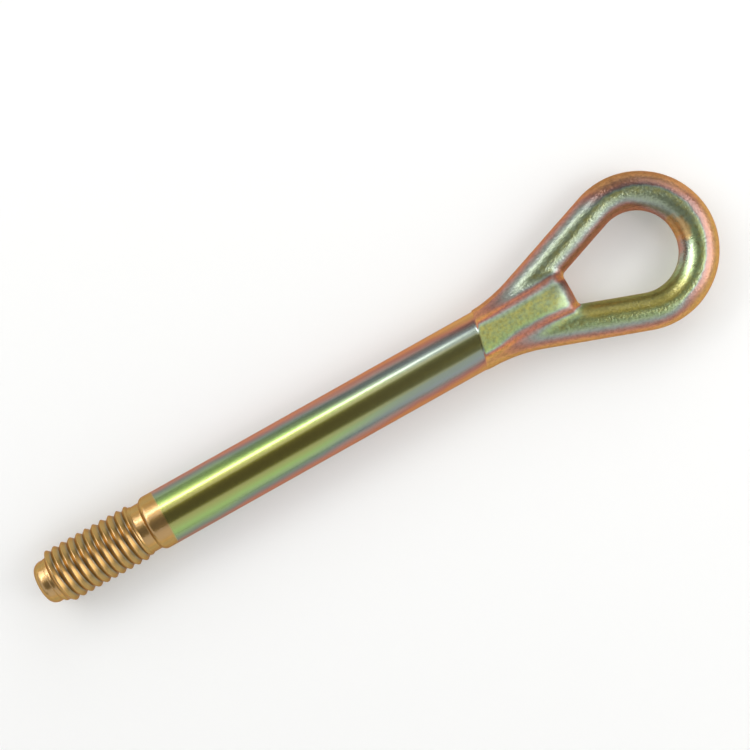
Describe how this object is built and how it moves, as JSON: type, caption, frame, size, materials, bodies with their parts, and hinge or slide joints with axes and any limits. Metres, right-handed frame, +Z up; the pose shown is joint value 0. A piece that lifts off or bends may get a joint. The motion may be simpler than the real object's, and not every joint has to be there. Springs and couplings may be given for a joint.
{
  "type": "tow eye",
  "caption": "Screw-in towing eye: a turned steel shank with a threaded stud and pilot nose at one end and a forged teardrop loop at the other.",
  "frame": {"origin": "on the shank's axis, at the inner end of the thread", "axes": "+X along the shank from the threaded end to the eye, the eye flat in the XY plane, +Z up"},
  "size_m": [0.212, 0.0442, 0.016],
  "materials": {
    "plated_steel": "zinc plated with a yellow iridescent passivation: turned and glossy on the shank, forged and satin on the eye"
  },
  "bodies": {
    "root": {"tow_eye": "plated_steel"}
  },
  "joints": []
}
